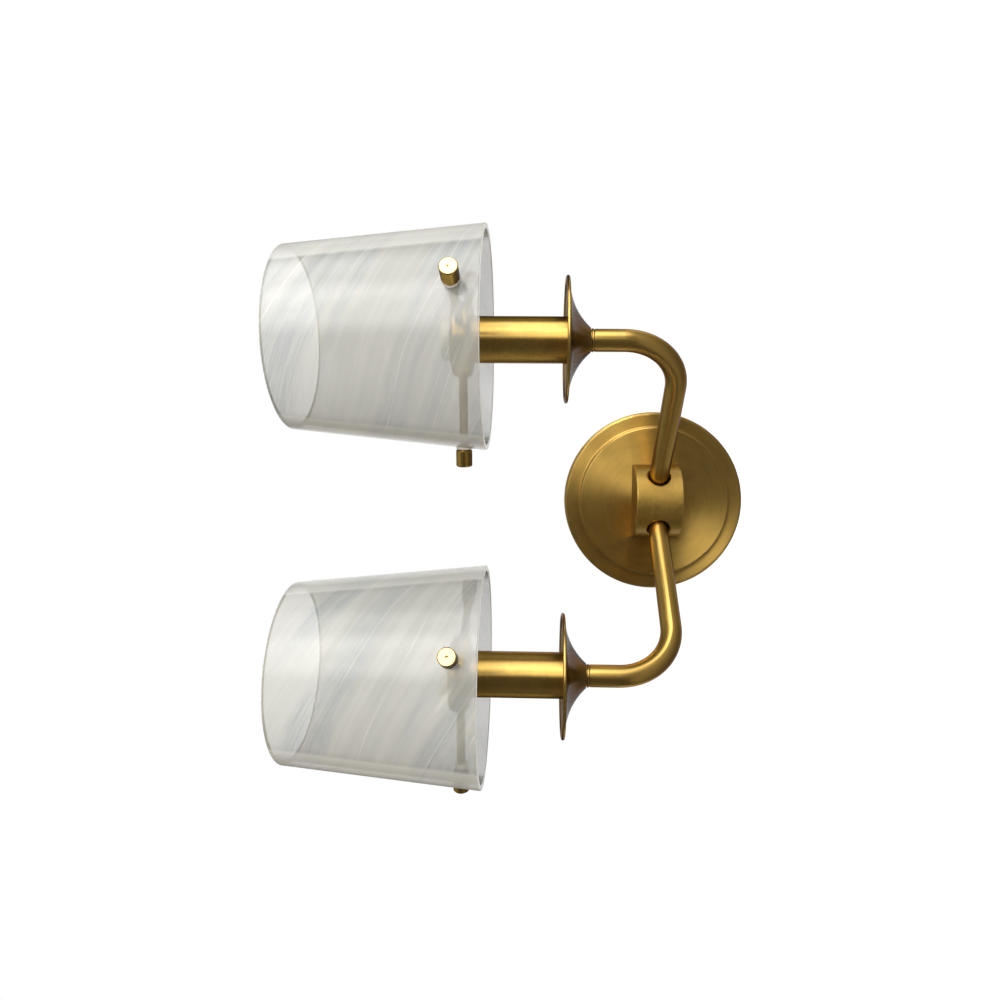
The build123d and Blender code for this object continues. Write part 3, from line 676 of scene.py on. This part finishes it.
# %% [markdown]
# Each knob is turned about its own level axis, so its rings need that axis. It is read from the joint
# that the knob turns on. The face was polished last and is paler than the side. It starts a little behind
# the knob's furthest point along that axis.

# %% Knobs
face_depth = 0.0006
spins = {joint["child"]: joint for joint in frame["joints"] if joint["type"] == "hinge"}
for body, joint in spins.items():
    knob = "shade_" + body
    start, along = Vector(joint["pos_m"]), Vector(joint["axis"])
    reach = max((corner.co - start).dot(along) for corner in nodes[knob].data.vertices)
    knob_brass = turned_brass(
        f"{knob}_brass", start, along, lines=2400.0, roughness=0.26, shade_below=0.8, breaks=1.2,
        bright_from=reach - face_depth,
    )
    wear(knob, knob_brass)
print("knobs", sorted(spins))

# %% [markdown]
# ## Plain hardware
#
# What sits behind the plate and inside the holders is zinc, porcelain, bright stamped brass and soft
# plastic. Each gets a small mottle from the same tarnish group, so that none is a flat colour.

# %% Plain finishes
mottle_roughness = 0.05        # how much the mottle changes the roughness, up and down


def plain(name, colour, worn, patch, roughness, metallic=0.0, coat=0.0):
    """A plain finish between two near colours, mottled at a given size."""
    made, tree, shader = new_material(name)
    place = add_node(tree, "TexCoord").outputs["Object"]
    patches = place_group(tree, tarnish, Place=place, Patch=patch)
    smoother, rougher = roughness - mottle_roughness, roughness + mottle_roughness
    feed(tree, shader.inputs["Base Color"], blend(tree, patches["Clouds"], colour, worn))
    feed(tree, shader.inputs["Roughness"], vary(tree, patches["Mottle"], smoother, rougher))
    shader.inputs["Metallic"].default_value = metallic
    shader.inputs["Coat Weight"].default_value = coat
    return made


zinc = plain(
    "zinc", rgba(0.62, 0.63, 0.63), rgba(0.50, 0.51, 0.53), patch=0.008, roughness=0.36, metallic=1.0
)
bright_brass = plain(
    "bright_brass", rgba(0.80, 0.60, 0.26), rgba(0.70, 0.50, 0.20), patch=0.006, roughness=0.28, metallic=1.0
)
cast_metal = plain(
    "cast_metal", rgba(0.50, 0.50, 0.49), rgba(0.40, 0.40, 0.40), patch=0.005, roughness=0.55, metallic=1.0
)
porcelain = plain(
    "porcelain", rgba(0.86, 0.84, 0.79), rgba(0.80, 0.78, 0.72), patch=0.010, roughness=0.16, coat=0.5
)
soft_clear = plain(
    "soft_clear", rgba(0.72, 0.70, 0.65), rgba(0.66, 0.64, 0.58), patch=0.004, roughness=0.42
)
silicone = plain(
    "silicone", rgba(0.80, 0.78, 0.73), rgba(0.72, 0.70, 0.64), patch=0.010, roughness=0.48
)
nylon = plain(
    "nylon", rgba(0.80, 0.79, 0.74), rgba(0.74, 0.73, 0.67), patch=0.012, roughness=0.40
)
print("seven plain finishes")

# %% [markdown]
# Some nodes exist once, and some once for each lamp or each knob, with the side in their names. A name's
# start is enough to find those.

# %% Which piece wears which
single_finish = {
    "wall_bracket": zinc,
    "earth_washer": zinc,
    "earth_screw": bright_brass,
    "terminal_block": nylon,
    "terminal_screws": bright_brass,
    "plate_grub_screws": bright_brass,
    "hub_screws": zinc,
    "arm_block": cast_metal,
    "block_screws": zinc,
}
lamp_finish = {
    "arm_nipple": zinc,
    "lamp_stem": zinc,
    "stem_nuts": zinc,
    "sleeve_seat": zinc,
    "holder_cap": porcelain,
    "holder_body": porcelain,
    "screw_shell": bright_brass,
    "centre_contact": bright_brass,
    "carrier_grub": bright_brass,
    "inner_washers": soft_clear,
    "knob_washer": soft_clear,
    "lamp_lead": silicone,
}
for node, finish in single_finish.items():
    wear(node, finish)
for node in nodes:
    for start, finish in lamp_finish.items():
        if node.startswith(start + "_"):
            wear(node, finish)
print("plain finishes on", len(single_finish), "single nodes and", len(lamp_finish), "kinds")

# %% [markdown]
# ## Streaked glass
#
# The shades are clear glass with a thin milky skin outside, brushed on in slanted strokes. A stroke on a
# cone climbs it like a thread. If the coordinates are untwisted about the lamp's axis, the strokes stand
# upright, and noise that is stretched along the axis makes them without a seam. The few long bright hairs
# are contour lines of such a noise. A second slow noise bends the strokes a little, so that they don't
# look ruled.

# %% Streaks
bend_scale = 9.0               # the slow noise that bends the strokes, and by how much
bend_angle = 0.9
hair_core = 0.002              # a hair's width, as a distance from its contour in the noise
hair_edge = 0.009
patch_step = (0.44, 0.60)      # from where to where in its noise each mask rises
brush_step = (0.32, 0.66)
stroke_step = (0.35, 0.70)
hair_step = (0.50, 0.66)


def make_strokes():
    """Slanted marks round the Z axis: cloudy patches, fine brushing and a few long hairs."""
    group, given, result = new_group(
        "glass_strokes",
        [("Place", "Vector", (0, 0, 0)), ("Twist", "Float", -40.0), ("Seed", "Float", 0.0)],
        [("Patches", "Float"), ("Brushing", "Float"), ("Soft strokes", "Float"), ("Hairs", "Float")],
    )
    place = given["Place"]
    height = split(group, place)[2]
    wander = calc(group, "SUBTRACT", noise(group, place, bend_scale, detail=1.0), 0.5)
    bend = calc(group, "MULTIPLY", wander, bend_angle)
    angle = calc(group, "SUBTRACT", bend, calc(group, "MULTIPLY", height, given["Twist"]))
    turned = add_node(group, "VectorRotate", rotation_type="Z_AXIS")
    feed(group, turned.inputs["Vector"], place)
    feed(group, turned.inputs["Angle"], angle)
    flat_x, flat_y, _ = split(group, turned.outputs[0])
    lift = calc(group, "ADD", height, given["Seed"])

    def stretched(slowness, scale, detail, roughness=0.5):
        """Noise on the untwisted cone that changes slowly along the axis."""
        flat = join(group, flat_x, flat_y, calc(group, "MULTIPLY", lift, slowness))
        return noise(group, flat, scale, detail, roughness)

    broad = stretched(slowness=0.80, scale=17.0, detail=4.0)
    strokes = stretched(slowness=0.26, scale=60.0, detail=4.0)
    brushing = stretched(slowness=0.12, scale=560.0, detail=3.0, roughness=0.65)
    lines = stretched(slowness=0.10, scale=48.0, detail=0.0)
    where = stretched(slowness=0.45, scale=55.0, detail=1.0)
    contour = calc(group, "ABSOLUTE", calc(group, "SUBTRACT", lines, 0.5))
    thin = fade(group, contour, hair_core, hair_edge, 1.0, 0.0)
    feed(group, result["Patches"], fade(group, broad, *patch_step))
    feed(group, result["Brushing"], fade(group, brushing, *brush_step))
    feed(group, result["Soft strokes"], fade(group, strokes, *stroke_step))
    feed(group, result["Hairs"], calc(group, "MULTIPLY", thin, fade(group, where, *hair_step)))
    return group


glass_strokes = make_strokes()
print("group", glass_strokes.name)

# %% [markdown]
# The milk lets a little through, so the carrier and its rods show faintly. Two things follow from that.
# The skin sits on the outer surface only, and the inner one is left mostly clear, or the two would hide
# everything. And alpha does the work of refraction: it keeps what is behind in its place, and the walls
# thin. The far wall is seen from inside the shade, where the milk is thinned out, so that its rim hardly
# shows through the near wall. The inner surface is painted darker, as painted shade inside the cone. A
# wall seen edge on hides more and turns whiter, a painted reflection, and each rim is cut clean and
# carries a thin painted highlight.

# %% Glass values
glass_pale = rgba(0.42, 0.42, 0.38)
glass_cool = rgba(0.28, 0.305, 0.315)
# painted shade: the inner surface is darker, as the inside of the cone lies in shade
glass_inside_painted_shade = rgba(0.17, 0.17, 0.16)
glass_white = rgba(0.80, 0.80, 0.77)
# a thin painted highlight along each rim
rim_painted_highlight = rgba(0.78, 0.78, 0.76)
milk = 0.30                    # how much the milky skin hides
clear_side = 0.23              # how much the bare inner surface hides
far_clearing = 0.50            # share of the milk that is gone where it is seen from inside the shade
least_brushed = 0.15           # how cool a patch stays between its brush lines
stroke_white = 0.12            # how white a soft stroke and a hair turn, and how white the painted reflection on a wall seen edge on
hair_white = 0.60
edge_painted_sheen = 0.7
stroke_milk = 0.10             # how much more the skin hides in a soft stroke, a hair and a brushed patch
hair_milk = 0.16
brushed_milk = 0.12
grazing = 0.92                 # how much either surface hides when seen edge on, and where that starts
grazing_start = 0.30
grazing_full = 0.95
wall_edge_and_sheen = 0.72               # the band where the wall itself is seen edge on: it hides more there, and turns whiter as painted reflection
wall_edge_start = 0.49
wall_edge_full = 0.54
half_wall = 0.0015
rim_start = 0.0003             # the rims' thin painted highlight, from each end of the cone
rim_end = 0.0006
glass_roughness = 0.16
glass_index = 1.5              # index of refraction, which sets how strongly the surface shines
print("glass hides", milk + clear_side, "from outside")


# %% Glass helpers
def surface_masks(tree, place, side):
    """A mask for the outer surface of one shade, and a mask for the painted highlight on its two rims."""
    low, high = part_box(f"glass_shade_{side}")
    axis = Vector(lamp_centre[side])
    corners = [corner.co - axis for corner in nodes[f"glass_shade_{side}"].data.vertices]
    wide = max(corner.xy.length for corner in corners)
    narrow = max(corner.xy.length for corner in corners if corner.z > high[2] - 2 * half_wall)
    x, y, height = split(tree, place)
    middle = ramp(tree, height, low[2], high[2], wide - half_wall, narrow - half_wall)
    outside = calc(tree, "GREATER_THAN", distance(tree, x, y), middle)
    lower_rim = fade(tree, height, low[2] + rim_start, low[2] + rim_end, 1.0, 0.0)
    upper_rim = fade(tree, height, high[2] - rim_end, high[2] - rim_start)
    print(side, "shade from", round(wide, 4), "to", round(narrow, 4))
    return outside, calc(tree, "MAXIMUM", lower_rim, upper_rim)


def skin_cover(tree, marks, brushed):
    """How much the milky skin hides. It hides less where it is seen from inside."""
    skin = calc(tree, "ADD", milk, calc(tree, "MULTIPLY", marks["Soft strokes"], stroke_milk))
    skin = calc(tree, "ADD", skin, calc(tree, "MULTIPLY", marks["Hairs"], hair_milk))
    skin = calc(tree, "ADD", skin, calc(tree, "MULTIPLY", brushed, brushed_milk))
    from_inside = add_node(tree, "NewGeometry").outputs["Backfacing"]
    kept = calc(tree, "SUBTRACT", 1.0, calc(tree, "MULTIPLY", from_inside, far_clearing))
    return calc(tree, "MULTIPLY", skin, kept)


def streaked_glass(side, twist, seed):
    """Milky glass for one shade."""
    made, tree, shader = new_material(f"streaked_glass_{side}")
    place = turning_place(tree, lamp_centre[side], upright)
    marks = place_group(tree, glass_strokes, Place=place, Twist=twist, Seed=seed)
    outside, rim_highlight = surface_masks(tree, place, side)
    facing = add_node(tree, "LayerWeight")
    facing.inputs["Blend"].default_value = 0.5
    slant = fade(tree, facing.outputs["Facing"], grazing_start, grazing_full, 0.0, grazing)
    # where the wall is seen edge on: used for more cover and for a painted reflection
    edge_band_and_sheen = fade(tree, facing.outputs["Facing"], wall_edge_start, wall_edge_full, 0.0, wall_edge_and_sheen)

    lined = fade(tree, marks["Brushing"], 0.0, 1.0, least_brushed, 1.0)
    brushed = calc(tree, "MULTIPLY", marks["Patches"], lined)
    shade = blend(tree, brushed, glass_pale, glass_cool)
    shade = blend(tree, calc(tree, "MULTIPLY", marks["Soft strokes"], stroke_white), shade, glass_white)
    shade = blend(tree, calc(tree, "MULTIPLY", marks["Hairs"], hair_white), shade, glass_white)
    # painted reflection: a wall seen edge on turns whiter
    shade = blend(tree, calc(tree, "MULTIPLY", edge_band_and_sheen, edge_painted_sheen), shade, glass_white)
    # the inner surface takes the painted shade of the cone's inside
    shade = blend(tree, outside, glass_inside_painted_shade, shade)
    # the rims take a thin opaque painted highlight
    feed(tree, shader.inputs["Base Color"], blend(tree, rim_highlight, shade, rim_painted_highlight))

    skin = calc(tree, "MULTIPLY", skin_cover(tree, marks, brushed), outside)
    edge_cover = calc(tree, "MAXIMUM", slant, calc(tree, "MULTIPLY", edge_band_and_sheen, outside))
    cover = calc(tree, "MAXIMUM", calc(tree, "ADD", skin, clear_side), edge_cover)
    feed(tree, shader.inputs["Alpha"], calc(tree, "MAXIMUM", cover, rim_highlight))
    shader.inputs["Roughness"].default_value = glass_roughness
    shader.inputs["IOR"].default_value = glass_index
    return made


print("glass helpers ready")

# %% [markdown]
# The two shades come from the same workshop, but no two are brushed alike: each has its own slant and its
# own place in the noise.

# %% Glass
strokes_of = {"right": (-42.0, 0.9), "left": (-36.0, 1.7)}
for side, (twist, seed) in strokes_of.items():
    wear(f"glass_shade_{side}", streaked_glass(side, twist, seed))
print("glass on", sorted(strokes_of))
